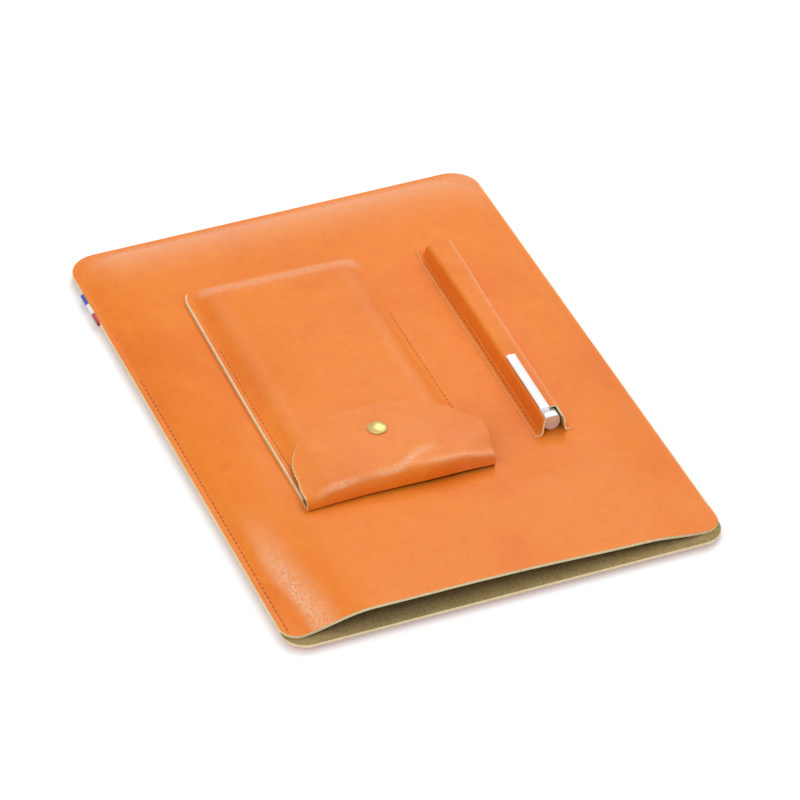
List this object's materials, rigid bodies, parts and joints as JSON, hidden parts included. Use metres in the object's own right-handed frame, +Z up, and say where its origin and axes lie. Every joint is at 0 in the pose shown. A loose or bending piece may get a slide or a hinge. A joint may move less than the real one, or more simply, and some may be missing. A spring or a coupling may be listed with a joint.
{
  "type": "leather tablet sleeve with pen holder",
  "caption": "Flat leather sleeve for a slim tablet, open at one short side, with a phone pocket under a snap flap and a pen sleeve holding a removable clip pen.",
  "frame": {"origin": "centre of the back panel's underside, on the surface it lies on", "axes": "+Z up through the pocket, +Y along the length away from the open mouth, +X to the pen's side"},
  "size_m": [0.2234, 0.324, 0.0208],
  "materials": {
    "panel_leather": "glossy aniline, orange",
    "thread": "waxed thread",
    "ribbon": "woven blue, white and red bands",
    "brass": "polished",
    "spring_steel": "drawn wire",
    "chrome": "polished",
    "nib_steel": "polished",
    "black_plastic": "gloss",
    "liner_plastic": "matt",
    "clear_plastic": "gloss"
  },
  "bodies": {
    "sleeve": {"back_panel": "panel_leather", "front_panel": "panel_leather", "sleeve_seam_thread": "thread", "ribbon_tab": "ribbon", "pocket_back": "panel_leather", "pocket_front": "panel_leather", "pocket_seam_thread": "thread", "snap_stud": "brass", "snap_eyelet": "brass", "pen_sleeve": "panel_leather", "pen_sleeve_seam_thread": "thread"},
    "flap_fold": {"flap_fold": "panel_leather"},
    "flap": {"closing_flap": "panel_leather", "snap_cap": "brass", "snap_socket": "brass", "snap_spring": "spring_steel"},
    "pen": {"pen_barrel": "chrome", "grip_section": "black_plastic", "pen_nib": "nib_steel", "nib_feed": "liner_plastic", "ink_converter": "clear_plastic"},
    "pen_cap": {"pen_cap": "chrome", "inner_cap": "liner_plastic", "cap_finial": "chrome", "pen_clip": "chrome"}
  },
  "joints": [
    {"name": "flap_fold_hinge", "type": "hinge", "parent": "sleeve", "child": "flap_fold", "pos_m": [-0.0228, -0.07936, 0.01034], "axis": [1, 0, 0], "range_deg": [0, 80]},
    {"name": "flap_hinge", "type": "hinge", "parent": "flap_fold", "child": "flap", "pos_m": [-0.0228, -0.07936, 0.01786], "axis": [1, 0, 0], "range_deg": [0, 80]},
    {"name": "pen_slide", "type": "slide", "parent": "sleeve", "child": "pen", "axis": [-0.0166, -0.9999, 0], "range_m": [0, 0.15]},
    {"name": "cap_pull", "type": "slide", "parent": "pen", "child": "pen_cap", "axis": [-0.0166, -0.9999, 0], "range_m": [0, 0.07]}
  ],
  "couplings": [
    {"joint": "flap_hinge", "follows": "flap_fold_hinge", "ratio": 1}
  ]
}
